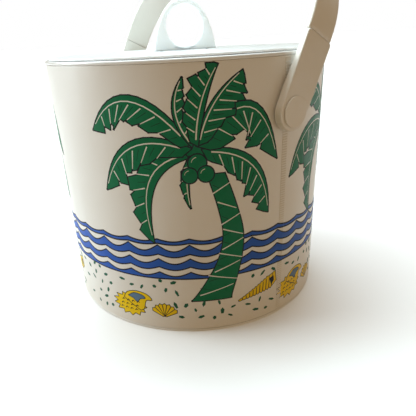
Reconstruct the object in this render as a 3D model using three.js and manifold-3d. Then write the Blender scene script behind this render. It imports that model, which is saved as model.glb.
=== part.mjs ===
// A lidded, insulated ice bucket with a swinging bail, in millimetres, +Z up.
// The origin is the centre of the underside; the bail turns about a line along X.
import * as THREE from 'three';
import { mergeVertices } from 'three/addons/utils/BufferGeometryUtils.js';
import Module from 'manifold-3d';

const wasm = await Module();
wasm.setup();

// ---------------------------------------------------------------- driving sizes
const bucketRadius = 102;      // outside of the printed wrap
const bucketHeight = 182;      // top of the rim bead
const clearance = 0.3;         // gap left between pieces that touch
const roundSteps = 56;         // flats round every large turned piece
const smallSteps = 24;         // flats round every small turned piece
const screwSteps = 16;         // flats round the knob's screws and their holes

// Wall, from the outside in
const wrapThick = 0.8;
const seamWidth = 4.6;         // welded strip running down the wrap under one pivot
const seamProud = 0.3;
const seamEnd = 0.5;           // the strip stops this far short of the wrap's edges
const shellThick = 2.5;
const foamMouthThick = 8.0;    // foam between shell and liner, at the mouth
const foamFootThick = 12.8;    // the same, at the liner's foot
const linerThick = 2;
const linerCorner = 8;         // rounding between the liner's wall and its floor

// Base
const basePlateThick = 1.8;
const baseEdge = 0.6;          // softened lower edge
const baseRingThick = 2.5;     // upstanding ring that plugs into the shell
const baseRingRise = 6.2;
const baseFoamThick = 9.6;

// Rim
const beadHeight = 2.3;        // glossy ring along the top edge
const beadProud = 0.3;         // how far the ring stands out past the wrap
const rimWidth = 8.3;          // the ring's width, from outside to inside
const flangeThick = 1.6;       // the liner's flange, which lies under the ring
const flangeInset = 0.4;       // the flange stops this far inside the shell

// Lid
const lidInset = 2;            // the lid's edge lies this far inside the wrap
const lidPlateThick = 1.4;
const lidEdge = 0.4;
const plugDepth = 12;          // how far the lid's underside reaches into the bucket
const plugGap = 1;             // space between the plug and the liner's mouth
const plugTaper = 0.8;
const plugThick = 1.5;
const plugFlangeThick = 1.8;

// Knob
const knobHoleRadius = 14.2;   // finger hole
const knobRing = 4.2;          // material above the finger hole
const knobWeb = 1.8;           // material between the finger hole and the lid
const knobHalfBase = 24.5;
const knobWaist = 3;           // the sides draw in this much on their way up
const knobThick = 6.5;
const knobEdge = 0.8;
const knobTurn = 71;           // degrees from X to the knob's broad direction
const knobScrewOffset = 18;    // each screw from the middle of the knob
const screwRadius = 1.3;
const screwHeadRadius = 3.2;
const screwHeadRise = 2.4;
const screwGrip = 9;           // how far each screw reaches into the knob

// Bail
const pivotDrop = 34;          // bail axis below the rim
const leanAngle = 26;          // the bail leans this far towards +Y, in degrees
const armWidth = 23.2;
const armThick = 4;
const armEdge = 0.5;
const armGapToRim = 2.7;       // clear space between an arm and the rim bead
const bossGap = 1;             // clear space between an arm's boss and the wrap
const straightLength = 45.5;   // from the axis to the end of each arm plate
const socketWall = 0.9;        // arm material on each side of the grip's tongue
const tongueHalf = 6.7;
const tongueLength = 17;
const bailReach = 120;         // from the axis to the crown of the grip
const gripStep = 0.7;          // the grip's outer face lies this far behind the arm's
const gripNarrow = 0.4;        // the grip is this much narrower than an arm
const gripThick = 3.4;
const crownThick = 4.4;
const gripEdge = 0.7;
const gripSquareness = 2.3;    // 2 is an ellipse, more is squarer
const quarterSteps = 12;       // flats in each quarter of the arch

// Pivots
const pinRadius = 3;
const pinHeadRadius = 6.2;
const pinHeadThick = 1.5;
const pinHeadSink = 2.8;       // the head's seat below the arm's outer face
const pinTail = 0.8;           // the pin passes through its nut by this much
const nutRadius = 7;           // across corners, halved
const nutThick = 3.5;
const nutGap = 0.7;            // the nut's flat face from the curved shell
const capRadius = 9.5;
const capThick = 1.1;
const capSkirtThick = 0.7;
const capSkirtGap = 0.4;

// ---------------------------------------------------------------- derived sizes
const wrapInner = bucketRadius - wrapThick;
const shellOuter = wrapInner - clearance;
const shellInner = shellOuter - shellThick;
const foamOuter = shellInner - clearance;
const foamMouth = foamOuter - foamMouthThick;
const foamFoot = foamOuter - foamFootThick;
const linerMouth = foamMouth - clearance - linerThick;
const linerFoot = foamFoot - clearance - linerThick;
const wrapBottom = basePlateThick + clearance;
const linerUnder = wrapBottom + baseFoamThick + clearance;
const linerFloor = linerUnder + linerThick;
const beadRadius = bucketRadius + beadProud;
const beadBottom = bucketHeight - beadHeight;
const rimInner = beadRadius - rimWidth;
const wrapTop = beadBottom - clearance;
const flangeBottom = wrapTop - flangeThick;
const shellTop = flangeBottom - clearance;
const lidRadius = bucketRadius - lidInset;
const lidUnder = bucketHeight + clearance;
const lidTop = lidUnder + lidPlateThick;
const knobFoot = lidTop + clearance;
const pivotHeight = bucketHeight - pivotDrop;
const armInner = beadRadius + armGapToRim;
const armOuter = armInner + armThick;
const halfArm = armWidth / 2;
const bossInner = bucketRadius + bossGap;
const headSeat = armOuter - pinHeadSink;
const nutOuter = shellInner - nutGap;
const nutInner = nutOuter - nutThick;

// ---------------------------------------------------------------- helpers
const degrees = (angle) => angle * Math.PI / 180;

// Turns a three.js geometry into a solid, its faces outward.
function solid(geometry) {
  const bare = geometry.index ? geometry.toNonIndexed() : geometry.clone();
  bare.deleteAttribute('normal');
  bare.deleteAttribute('uv');
  const merged = mergeVertices(bare, 1e-4);
  const points = Float32Array.from(merged.attributes.position.array);
  const corners = [];
  const index = merged.index.array;
  for (let i = 0; i < index.length; i += 3) {
    const [a, b, c] = [index[i], index[i + 1], index[i + 2]];
    if (a !== b && b !== c && c !== a) corners.push(a, b, c);
  }
  if (signedVolume(points, corners) < 0) {
    for (let i = 0; i < corners.length; i += 3) {
      [corners[i + 1], corners[i + 2]] = [corners[i + 2], corners[i + 1]];
    }
  }
  const mesh = new wasm.Mesh({
    numProp: 3,
    vertProperties: points,
    triVerts: Uint32Array.from(corners),
  });
  return new wasm.Manifold(mesh);
}

function signedVolume(points, corners) {
  let total = 0;
  const [a, b, c] = [new THREE.Vector3(), new THREE.Vector3(), new THREE.Vector3()];
  for (let i = 0; i < corners.length; i += 3) {
    a.fromArray(points, 3 * corners[i]);
    b.fromArray(points, 3 * corners[i + 1]);
    c.fromArray(points, 3 * corners[i + 2]);
    total += a.dot(b.cross(c)) / 6;
  }
  return total;
}

// A closed outline of [radius, height] swept round three.js's own Y axis.
function swept(profile, steps) {
  const outline = profile.map(([radius, height]) => new THREE.Vector2(radius, height));
  const open = profile[0][0] > 0 || profile[profile.length - 1][0] > 0;
  if (open) outline.push(outline[0]);
  return new THREE.LatheGeometry(outline, steps);
}

// A turned piece about Z.
function turned(profile, steps = roundSteps) {
  const geometry = swept(profile, steps);
  geometry.rotateX(Math.PI / 2);
  return solid(geometry);
}

// A turned piece about the bail axis; its heights are distances from the bucket's axis.
function turnedOnAxis(profile, steps = smallSteps) {
  const geometry = swept(profile, steps);
  geometry.rotateZ(-Math.PI / 2);
  geometry.translate(0, 0, pivotHeight);
  return solid(geometry);
}

// Plain round bars, for bosses, bores and pockets.
const barProfile = (radius, from, to) => [[0, from], [radius, from], [radius, to], [0, to]];
const axisBar = (radius, from, to) => turnedOnAxis(barProfile(radius, from, to));
const uprightBar = (radius, from, to) => turned(barProfile(radius, from, to), screwSteps);

// An outline standing upright: its x runs along X, its y along Z, its depth along Y.
function upright(shape, depth, edge = 0, curveSteps = 8) {
  const geometry = new THREE.ExtrudeGeometry(shape, {
    depth: depth - 2 * edge,
    bevelEnabled: edge > 0,
    bevelThickness: edge,
    bevelSize: edge,
    bevelOffset: -edge,
    bevelSegments: 1,
    curveSegments: curveSteps,
  });
  geometry.translate(0, 0, -(depth - 2 * edge) / 2);
  geometry.rotateX(Math.PI / 2);
  return solid(geometry);
}

// An outline standing across the bail axis: its x runs along Y, its y up from the axis.
function acrossAxis(shape, from, to, edge = 0, curveSteps = 8) {
  const body = upright(shape, to - from, edge, curveSteps);
  return body.rotate([0, 0, 90]).translate([(from + to) / 2, 0, pivotHeight]);
}

function rectangle(left, right, low, high) {
  return new THREE.Shape([
    new THREE.Vector2(left, low),
    new THREE.Vector2(right, low),
    new THREE.Vector2(right, high),
    new THREE.Vector2(left, high),
  ]);
}

// The same piece on the other side of the bucket.
const opposite = (body) => body.rotate([0, 0, 180]);

// Leans a piece of the bail about the bail axis, from upright to its resting place.
function lean(body) {
  return body.translate([0, 0, -pivotHeight])
    .rotate([-leanAngle, 0, 0])
    .translate([0, 0, pivotHeight]);
}

const group = new THREE.Group();
group.name = 'ice_bucket';

function add(name, body, colour, roughness, metalness = 0) {
  const kept = body.getMesh();
  const geometry = new THREE.BufferGeometry();
  const points = Float32Array.from(kept.vertProperties);
  geometry.setAttribute('position', new THREE.BufferAttribute(points, 3));
  geometry.setIndex(Array.from(kept.triVerts));
  geometry.computeVertexNormals();
  const material = new THREE.MeshStandardMaterial({ color: colour, roughness, metalness });
  const mesh = new THREE.Mesh(geometry, material);
  mesh.name = name;
  group.add(mesh);
}

const white = 0xf1f1ec;
const vinyl = 0xeceff0;
const foam = 0xe8e2cf;
const steel = 0xb4b7ba;

// ---------------------------------------------------------------- bucket
// Base plate: a disc under everything, with a ring that plugs into the shell.
const ringOuter = shellInner - clearance;
const ringInner = ringOuter - baseRingThick;
const ringTop = basePlateThick + baseRingRise;
add('base_plate', turned([
  [0, 0],
  [bucketRadius - baseEdge, 0],
  [bucketRadius, baseEdge],
  [bucketRadius, basePlateThick],
  [ringOuter, basePlateThick],
  [ringOuter, ringTop],
  [ringInner, ringTop],
  [ringInner, basePlateThick],
  [0, basePlateThick],
]), white, 0.4);

const baseFoamRadius = ringInner - clearance;
add('base_insulation', turned([
  [0, wrapBottom],
  [baseFoamRadius, wrapBottom],
  [baseFoamRadius, wrapBottom + baseFoamThick],
  [0, wrapBottom + baseFoamThick],
]), foam, 0.95);

// Both pivots pass through the shell and the wrap.
const wallReach = bucketRadius + 10;
const pinBore = axisBar(pinRadius + clearance, -wallReach, wallReach);

const shell = turned([
  [shellInner, wrapBottom],
  [shellOuter, wrapBottom],
  [shellOuter, shellTop],
  [shellInner, shellTop],
]).subtract(pinBore);
add('outer_shell', shell, white, 0.5);

// Printed wrap: a thin vinyl sleeve with a welded strip down one side.
const sleeve = turned([
  [wrapInner, wrapBottom],
  [bucketRadius, wrapBottom],
  [bucketRadius, wrapTop],
  [wrapInner, wrapTop],
]);
const seamShape = rectangle(
  bucketRadius - wrapThick / 2,
  bucketRadius + seamProud,
  -seamWidth / 2,
  seamWidth / 2,
);
const seamStrip = new THREE.ExtrudeGeometry(seamShape, {
  depth: wrapTop - wrapBottom - 2 * seamEnd,
  bevelEnabled: false,
});
seamStrip.translate(0, 0, wrapBottom + seamEnd);
const wrap = sleeve.add(solid(seamStrip)).subtract(pinBore);
add('printed_wrap', wrap, vinyl, 0.35);

// Ice liner: the cup the ice lies in, with a flange over the top of the wall.
const footOutside = linerFoot + linerThick;
const mouthOutside = linerMouth + linerThick;
add('ice_liner', turned([
  [0, linerUnder],
  [footOutside - linerCorner - linerThick, linerUnder],
  [footOutside - 0.3 * linerCorner, linerUnder + 0.4 * linerCorner],
  [footOutside, linerUnder + linerCorner + linerThick],
  [mouthOutside, flangeBottom],
  [shellOuter - flangeInset, flangeBottom],
  [shellOuter - flangeInset, wrapTop],
  [linerMouth + 1, wrapTop],
  [linerMouth, wrapTop - 1],
  [linerFoot, linerFloor + linerCorner],
  [linerFoot - 0.35 * linerCorner, linerFloor + 0.25 * linerCorner],
  [linerFoot - linerCorner - 1, linerFloor],
  [0, linerFloor],
]), white, 0.3);

// Foam between liner and shell, hollowed where each pivot nut sits.
const pocketRadius = nutRadius + 4 * clearance;
const foamPocket = axisBar(pocketRadius, nutInner - pinTail - 2 * clearance, wallReach);
const wallFoam = turned([
  [foamFoot, linerUnder],
  [foamOuter, linerUnder],
  [foamOuter, shellTop],
  [foamMouth, shellTop],
  [foamFoot, linerUnder + linerCorner + linerThick],
]).subtract(foamPocket).subtract(opposite(foamPocket));
add('wall_insulation', wallFoam, foam, 0.95);

// Rim ring: the glossy bead along the top edge.
add('rim_ring', turned([
  [rimInner, beadBottom],
  [beadRadius - 0.5, beadBottom],
  [beadRadius, beadBottom + 0.6],
  [beadRadius, bucketHeight - 0.9],
  [beadRadius - 0.4, bucketHeight - 0.3],
  [beadRadius - 1.2, bucketHeight],
  [rimInner + 0.6, bucketHeight],
  [rimInner, bucketHeight - 0.5],
]), white, 0.15);

// Each pivot: a headed pin through the arm and the wall, held by a nut in the foam.
const pinEnd = nutInner - pinTail;
const headUnder = headSeat + clearance;
const headTop = headUnder + pinHeadThick;
const pin = turnedOnAxis([
  [0, pinEnd],
  [pinRadius, pinEnd],
  [pinRadius, headUnder],
  [pinHeadRadius, headUnder],
  [pinHeadRadius, headTop - 0.4],
  [pinHeadRadius - 0.6, headTop],
  [0, headTop],
]);
add('pivot_pin_right', pin, steel, 0.3, 1);
add('pivot_pin_left', opposite(pin), steel, 0.3, 1);

const nutCorners = [0, 1, 2, 3, 4, 5].map((corner) => {
  const turn = degrees(60 * corner);
  return new THREE.Vector2(nutRadius * Math.cos(turn), nutRadius * Math.sin(turn));
});
const nut = acrossAxis(new THREE.Shape(nutCorners), nutInner, nutOuter)
  .subtract(axisBar(pinRadius + clearance, nutInner - 5, nutOuter + 5));
add('pivot_nut_right', nut, steel, 0.4, 1);
add('pivot_nut_left', opposite(nut), steel, 0.4, 1);

// ---------------------------------------------------------------- lid
// The knob's screws lie along its broad direction.
const screwSpots = [-1, 1].map((side) => [
  side * knobScrewOffset * Math.cos(degrees(knobTurn)),
  side * knobScrewOffset * Math.sin(degrees(knobTurn)),
  0,
]);

let lidPlate = turned([
  [0, lidUnder],
  [lidRadius - lidEdge, lidUnder],
  [lidRadius, lidUnder + lidEdge],
  [lidRadius, lidTop - 1.5 * lidEdge],
  [lidRadius - lidEdge, lidTop - 0.5 * lidEdge],
  [lidRadius - 3 * lidEdge, lidTop],
  [0, lidTop],
]);

// Plug: a shallow pan under the lid that fits inside the liner's mouth.
const plugOuter = linerMouth - plugGap;
const plugFoot = plugOuter - plugTaper;
const plugFlange = rimInner - 2 * clearance;
const plugBottom = bucketHeight - plugDepth;
const plugFlangeUnder = bucketHeight - plugFlangeThick;
const plugCorner = 2;
add('lid_plug', turned([
  [0, plugBottom],
  [plugFoot - plugCorner, plugBottom],
  [plugFoot, plugBottom + plugCorner],
  [plugOuter, plugFlangeUnder],
  [plugFlange, plugFlangeUnder],
  [plugFlange, bucketHeight],
  [plugOuter - plugThick, bucketHeight],
  [plugFoot - plugThick, plugBottom + plugThick + 1.1],
  [plugFoot - plugThick - 1.1, plugBottom + plugThick],
  [0, plugBottom + plugThick],
]), white, 0.35);

const lidFoamRadius = plugOuter - plugThick - clearance;
const lidFoamFoot = plugFoot - plugThick - clearance;
const lidFoamUnder = plugBottom + plugThick + clearance;
let lidFoam = turned([
  [0, lidFoamUnder],
  [lidFoamFoot - 1.2, lidFoamUnder],
  [lidFoamFoot, lidFoamUnder + 1.2],
  [lidFoamRadius, bucketHeight],
  [0, bucketHeight],
]);

// Knob: a flat plate with a round finger hole, its sides swelling down to a wide foot.
const holeHeight = knobWeb + knobHoleRadius;
const knobHeight = holeHeight + knobHoleRadius + knobRing;
const sideReach = knobHalfBase - knobWaist;
const sideHeight = holeHeight + 1;
const shoulder = knobHoleRadius + clearance;
const knobShape = new THREE.Shape();
knobShape.moveTo(-knobHalfBase, 0);
knobShape.lineTo(knobHalfBase, 0);
knobShape.bezierCurveTo(sideReach, sideHeight, shoulder, knobHeight, 0, knobHeight);
knobShape.bezierCurveTo(-shoulder, knobHeight, -sideReach, sideHeight, -knobHalfBase, 0);
const fingerHole = new THREE.Path();
fingerHole.absarc(0, holeHeight, knobHoleRadius, 0, 2 * Math.PI, true);
knobShape.holes.push(fingerHole);
let knob = upright(knobShape, knobThick, knobEdge, 12)
  .rotate([0, 0, knobTurn])
  .translate([0, 0, knobFoot]);

const headPocket = screwHeadRise + 2 * clearance;
const screwTop = knobFoot + screwGrip;
for (const spot of screwSpots) {
  const bore = uprightBar(
    screwRadius + clearance,
    bucketHeight - headPocket,
    screwTop + clearance,
  ).translate(spot);
  const pocket = uprightBar(
    screwHeadRadius + 2 * clearance,
    bucketHeight - headPocket,
    bucketHeight + 1,
  ).translate(spot);
  lidPlate = lidPlate.subtract(bore);
  knob = knob.subtract(bore);
  lidFoam = lidFoam.subtract(pocket);
}
add('lid_plate', lidPlate, white, 0.3);
add('lid_insulation', lidFoam, foam, 0.95);
add('lid_knob', knob, white, 0.3);

const screwHeadUnder = bucketHeight - screwHeadRise;
const screw = turned([
  [0, screwHeadUnder],
  [screwHeadRadius - 1, screwHeadUnder],
  [screwHeadRadius, screwHeadUnder + 1],
  [screwHeadRadius, bucketHeight],
  [screwRadius, bucketHeight],
  [screwRadius, screwTop],
  [0, screwTop],
], screwSteps);
screwSpots.forEach((spot, which) => {
  add(`knob_screw_${which + 1}`, screw.translate(spot), steel, 0.35, 1);
});

// ---------------------------------------------------------------- bail
// Arm plate: a straight strap with a round end, a boss towards the wall and a socket.
const armShape = new THREE.Shape();
armShape.moveTo(-halfArm, straightLength);
armShape.lineTo(-halfArm, 0);
armShape.absarc(0, 0, halfArm, Math.PI, 2 * Math.PI, false);
armShape.lineTo(halfArm, straightLength);
armShape.closePath();

const armMiddle = (armInner + armOuter) / 2;
const socketThick = armThick - 2 * socketWall;
const socketHalf = tongueHalf + clearance;
const tongueFoot = straightLength - tongueLength;
const tongueThick = socketThick - 2 * clearance;

function flatBar(halfWidth, low, high, thick) {
  const outline = rectangle(-halfWidth, halfWidth, low, high);
  return acrossAxis(outline, armMiddle - thick / 2, armMiddle + thick / 2);
}

const recessRadius = pinHeadRadius + capSkirtGap + capSkirtThick + clearance;
const armPlate = acrossAxis(armShape, armInner, armOuter, armEdge, 10)
  .add(axisBar(halfArm - armEdge, bossInner, armInner + 1))
  .subtract(axisBar(pinRadius + clearance, bossInner - 5, armOuter + 5))
  .subtract(axisBar(recessRadius, headSeat, armOuter + 1))
  .subtract(flatBar(socketHalf, tongueFoot - 2 * clearance, straightLength + 1, socketThick));
add('bail_arm_right', lean(armPlate), white, 0.35);
add('bail_arm_left', lean(opposite(armPlate)), white, 0.35);

// Grip: a squared arch from one arm over to the other, with a tongue into each socket.
const gripOuter = armOuter - gripStep;
const gripFoot = straightLength + clearance;
const gripRise = bailReach - gripFoot;
const outerArch = [];
const innerArch = [];
for (let step = 0; step <= 2 * quarterSteps; step += 1) {
  const turn = Math.PI * step / (2 * quarterSteps);
  const power = 2 / gripSquareness;
  const sideways = Math.abs(Math.cos(turn)) ** power;
  const upwards = Math.abs(Math.sin(turn)) ** power;
  const side = 2 * step < 2 * quarterSteps ? sideways : -sideways;
  const thick = gripThick + (crownThick - gripThick) * Math.sin(turn) ** 2;
  outerArch.push(new THREE.Vector2(gripOuter * side, gripFoot + gripRise * upwards));
  innerArch.push(new THREE.Vector2(
    (gripOuter - thick) * side,
    gripFoot + (gripRise - thick) * upwards,
  ));
}
const archShape = new THREE.Shape([...outerArch, ...innerArch.reverse()]);
const arch = upright(archShape, armWidth - gripNarrow, gripEdge)
  .translate([0, 0, pivotHeight]);
const tongue = flatBar(tongueHalf, tongueFoot, gripFoot + 2, tongueThick);
const grip = arch.add(tongue).add(opposite(tongue));
add('bail_grip', lean(grip), white, 0.35);

// Cap: a round cover pressed into the arm over the pin's head.
const capSeat = armOuter + clearance;
const skirtInner = pinHeadRadius + capSkirtGap;
const skirtEnd = headSeat + 0.8;
const cap = turnedOnAxis([
  [0, capSeat],
  [skirtInner, capSeat],
  [skirtInner, skirtEnd],
  [skirtInner + capSkirtThick, skirtEnd],
  [skirtInner + capSkirtThick, capSeat],
  [capRadius, capSeat],
  [capRadius, capSeat + 0.5 * capThick],
  [capRadius - 0.7, capSeat + capThick],
  [0, capSeat + capThick],
]);
add('pivot_cap_right', lean(cap), white, 0.35);
add('pivot_cap_left', lean(opposite(cap)), white, 0.35);

export default group;
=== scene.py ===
# %% [markdown]
# # A lidded ice bucket in a printed vinyl jacket
# The real object is a straight white tub with foam in its wall. A sheet of printed vinyl is wrapped
# round it, a glossy bead covers its rim, a flat lid with a finger loop closes it, and a flat plastic
# handle swings on two pivots. The engineering model already fixes every size, so this lesson loads
# that model as a frame and builds the looks round it, piece by piece, in metres in the same place.

import math

import bmesh
import bpy
import numpy as np
from mathutils import Matrix, Vector
from mathutils.geometry import delaunay_2d_cdt


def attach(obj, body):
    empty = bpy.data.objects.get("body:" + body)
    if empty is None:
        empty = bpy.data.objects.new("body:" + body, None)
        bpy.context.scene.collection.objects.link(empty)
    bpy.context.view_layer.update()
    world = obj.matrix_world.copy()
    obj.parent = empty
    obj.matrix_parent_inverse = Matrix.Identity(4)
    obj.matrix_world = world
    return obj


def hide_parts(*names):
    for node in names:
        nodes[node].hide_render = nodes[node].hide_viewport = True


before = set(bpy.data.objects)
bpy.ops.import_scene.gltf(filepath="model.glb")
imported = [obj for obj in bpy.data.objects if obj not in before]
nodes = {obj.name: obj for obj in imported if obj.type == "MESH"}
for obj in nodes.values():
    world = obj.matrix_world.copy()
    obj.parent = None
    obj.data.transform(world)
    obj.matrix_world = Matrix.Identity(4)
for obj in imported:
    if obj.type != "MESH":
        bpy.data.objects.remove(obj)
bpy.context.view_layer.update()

# %% [markdown]
# ## Sizes
# All sizes are in millimetres, as a maker would write them on a drawing, and become metres only when
# a mesh is made. The upright axis is Z, and the handle's pivots lie along X.

# %% Name the driving sizes
MM = 0.001
JACKET_RADIUS = 102.0
JACKET_FOOT = 2.1
JACKET_TOP = 179.65
FACETS = 180
PIVOT_HEIGHT = 148.0
HANDLE_LEAN = math.radians(26)
SCENE_START = -36
SCENE_END = 60
SCENE_TURN = -36.0
SCENES = [(0, 36), (72, SCENE_END), (168, SCENE_END), (264, SCENE_END)]
SEAM_HALF = 2.3
SEAM_EDGE = 0.45
SEAM_THICK = 0.16
DEGREE = math.pi * JACKET_RADIUS / 180
print("one degree round the jacket is", round(DEGREE, 3), "mm")

# %% [markdown]
# ## Camera
# The object is seen from a little above, close by, with the camera slightly tipped. A direction and
# an upward hint fix the turn of a camera completely, and are easier to read than three angles.

# %% Place the camera
CAMERA_PLACE = (0.27849, -0.20233, 0.19112)
CAMERA_LOOK = (-0.73983, 0.53154, -0.41245)
UPWARD_HINT = (-0.30302, 0.28409, 0.90966)
camera_data = bpy.data.cameras.new("studio_camera")
camera_data.sensor_width = 36
camera_data.lens = 36.14
camera_data.shift_x = 0.0383
camera_data.shift_y = 0.0482
camera = bpy.data.objects.new("studio_camera", camera_data)
look = Vector(CAMERA_LOOK).normalized()
sideways = look.cross(Vector(UPWARD_HINT)).normalized()
upward = sideways.cross(look)
turn = Matrix((sideways, upward, -look)).transposed().to_4x4()
camera.matrix_world = Matrix.Translation(CAMERA_PLACE) @ turn
bpy.context.scene.collection.objects.link(camera)
bpy.context.scene.camera = camera
print("camera looks along", [round(x, 3) for x in look])

# %% [markdown]
# ## Light
# Cool daylight comes from the left through a wide window, and more falls from above. The rest of the
# room is warm and dim, so the right side of the white tub turns tan. Sun lamps with a wide angle give
# the soft edges of a big window and light a wide floor evenly. A small card over the lid sends some
# daylight back onto the knob and the far arm, which face away from the window. The room's glow is the
# world's colour, and only the camera sees the world as plain white, for a clean backdrop.

# %% Make the lamps
def daylight(name, azimuth, elevation, strength, softness, tint):
    """A soft sun: where it comes from in degrees, its brightness on white card, its width in degrees."""
    data = bpy.data.lights.new(name, "SUN")
    data.energy = strength * math.pi
    data.angle = math.radians(softness)
    data.color = tint
    made = bpy.data.objects.new(name, data)
    level = math.cos(math.radians(elevation))
    source = Vector((level * math.cos(math.radians(azimuth)), level * math.sin(math.radians(azimuth)),
                     math.sin(math.radians(elevation))))
    made.rotation_euler = source.to_track_quat("Z", "Y").to_euler()
    bpy.context.scene.collection.objects.link(made)
    return made


def room_glow(tint, strength):
    """A world that lights softly in one tint and looks white behind the object."""
    world = bpy.data.worlds.new("studio_world")
    world.use_nodes = True
    tree = world.node_tree
    glow = tree.nodes["Background"]
    glow.inputs["Color"].default_value = (*tint, 1)
    glow.inputs["Strength"].default_value = strength
    backdrop = tree.nodes.new("ShaderNodeBackground")
    backdrop.inputs["Color"].default_value = (1, 1, 1, 1)
    ray = tree.nodes.new("ShaderNodeLightPath")
    choice = tree.nodes.new("ShaderNodeMixShader")
    tree.links.new(ray.outputs["Is Camera Ray"], choice.inputs["Fac"])
    tree.links.new(glow.outputs["Background"], choice.inputs[1])
    tree.links.new(backdrop.outputs["Background"], choice.inputs[2])
    tree.links.new(choice.outputs["Shader"], tree.nodes["World Output"].inputs["Surface"])
    return world


def bounce_card(name, place, target, power, width, tint):
    """A small card that sends daylight back onto what it faces: places in metres, power in watts."""
    data = bpy.data.lights.new(name, "AREA")
    data.energy = power
    data.size = width
    data.color = tint
    made = bpy.data.objects.new(name, data)
    made.location = place
    made.rotation_euler = (Vector(target) - Vector(place)).to_track_quat("-Z", "Y").to_euler()
    made.visible_camera = False
    made.visible_glossy = False
    bpy.context.scene.collection.objects.link(made)
    return made

# %% [markdown]
# The tints do most of the work. Cool light on one side and warm light on the other make the same
# white tub look white at its left and tan at its right. The Standard view leaves the tints as they are.

# %% Switch on the light
WINDOW_TINT = (0.80, 0.94, 1.0)
SKY_TINT = (0.80, 0.93, 1.0)
CARD_TINT = (0.66, 0.94, 1.0)
ROOM_TINT = (1.0, 0.72, 0.43)
CARD_PLACE = (0.03, -0.02, 0.40)
FAR_ARM = (-0.10, 0.02, 0.20)
daylight("window_light", -136, 20, 1.05, 40, WINDOW_TINT)
daylight("sky_light", 160, 66, 1.0, 60, SKY_TINT)
bounce_card("lid_card", CARD_PLACE, FAR_ARM, 0.36, 0.06, CARD_TINT)
bpy.context.scene.world = room_glow(ROOM_TINT, 0.345)
bpy.context.scene.view_settings.view_transform = "Standard"
print("two daylights, a card and a warm room")

# %% [markdown]
# ## Mesh helpers
# Nearly every part of this bucket was moulded, and each shape is either turned about an axis or made
# of one outline carried along a way. Two helpers do that. Both give closed meshes with their faces
# outward, which shade well and print well.

# %% Make a piece from points and faces
def new_piece(name, points, faces):
    """An object at the origin with its place in its mesh, from points in millimetres."""
    mesh = bpy.data.meshes.new(name)
    mesh.from_pydata([(p[0] * MM, p[1] * MM, p[2] * MM) for p in points], [], faces)
    piece = bpy.data.objects.new(name, mesh)
    bpy.context.scene.collection.objects.link(piece)
    return piece


def face_outward(piece):
    """Turn every face of a closed mesh to point out of it."""
    work = bmesh.new()
    work.from_mesh(piece.data)
    bmesh.ops.recalc_face_normals(work, faces=work.faces)
    work.to_mesh(piece.data)
    work.free()


def spun(name, outline, steps=FACETS, to_place=None):
    """Turn a closed outline of (radius, height) about the upright axis, then place it."""
    points = []
    rings = []
    for radius, height in outline:
        start = len(points)
        count = steps if radius > 1e-6 else 1
        for step in range(count):
            angle = 2 * math.pi * step / steps
            points.append(Vector((radius * math.cos(angle), radius * math.sin(angle), height)))
        rings.append(range(start, start + count))
    faces = []
    for ring, following in zip(rings, rings[1:] + rings[:1]):
        for step in range(steps):
            after = (step + 1) % steps
            corners = [ring[step % len(ring)], ring[after % len(ring)]]
            corners += [following[after % len(following)], following[step % len(following)]]
            corners = list(dict.fromkeys(corners))
            if len(corners) > 2:
                faces.append(corners)
    if to_place:
        points = [to_place(p) for p in points]
    piece = new_piece(name, points, faces)
    face_outward(piece)
    return piece


def lofted(name, rings, ends_meet=True):
    """Join rings of equally many points into one skin. Loose ends are closed with a cap."""
    count = len(rings[0])
    points = [p for ring in rings for p in ring]
    faces = []
    for index in range(len(rings) if ends_meet else len(rings) - 1):
        here = index * count
        there = (index + 1) % len(rings) * count
        for step in range(count):
            after = (step + 1) % count
            faces.append((here + step, here + after, there + after, there + step))
    if not ends_meet:
        faces.append(tuple(reversed(range(count))))
        faces.append(tuple(range(len(points) - count, len(points))))
    piece = new_piece(name, points, faces)
    face_outward(piece)
    return piece

# %% [markdown]
# A rounded corner next to a wide flat face bends the shading of the whole face. A support line a third
# of a millimetre past each end of the arc keeps the bend where it belongs, so flats stay flat.

# %% Round the corners of an outline
SUPPORT = 0.35


def rounded(corners, steps=5):
    """Corners are (across, up) or (across, up, rounding). Each rounding becomes a short arc."""
    outline = []
    for index, corner in enumerate(corners):
        here = Vector(corner[:2])
        radius = corner[2] if len(corner) > 2 else 0
        if not radius:
            outline.append(here)
            continue
        back = Vector(corners[index - 1][:2]) - here
        ahead = Vector(corners[(index + 1) % len(corners)][:2]) - here
        half = back.angle(ahead) / 2
        reach = min(radius / math.tan(half), 0.48 * back.length, 0.48 * ahead.length)
        start = here + back.normalized() * reach
        end = here + ahead.normalized() * reach
        middle_way = (back.normalized() + ahead.normalized()).normalized()
        centre = here + middle_way * (reach / math.cos(half))
        if 0.48 * back.length > reach + SUPPORT:
            outline.append(start + back.normalized() * SUPPORT)
        first = start - centre
        last = end - centre
        sweep = math.atan2(first.x * last.y - first.y * last.x, first.dot(last))
        for step in range(steps + 1):
            part = sweep * step / steps
            turned = Vector((first.x * math.cos(part) - first.y * math.sin(part),
                             first.x * math.sin(part) + first.y * math.cos(part)))
            outline.append(centre + turned)
        if 0.48 * ahead.length > reach + SUPPORT:
            outline.append(end + ahead.normalized() * SUPPORT)
    return outline

# %% [markdown]
# Every finished piece then goes through the same last step: smooth shading with crisp real edges, one
# material, and a ride on the body that carries it, while the engineering parts it stands for are hidden.

# %% Give a piece its finish and its place on the model
def fit(piece, finish, body, stands_for, sharp=32):
    """Smooth the piece, keep real edges crisp, dress it and let it ride on its body."""
    piece.data.materials.clear()
    piece.data.materials.append(finish)
    piece.data.shade_smooth()
    piece.data.set_sharp_from_angle(angle=math.radians(sharp))
    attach(piece, body)
    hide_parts(*stands_for)
    print(piece.name, "has", len(piece.data.polygons), "faces")
    return piece

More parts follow.
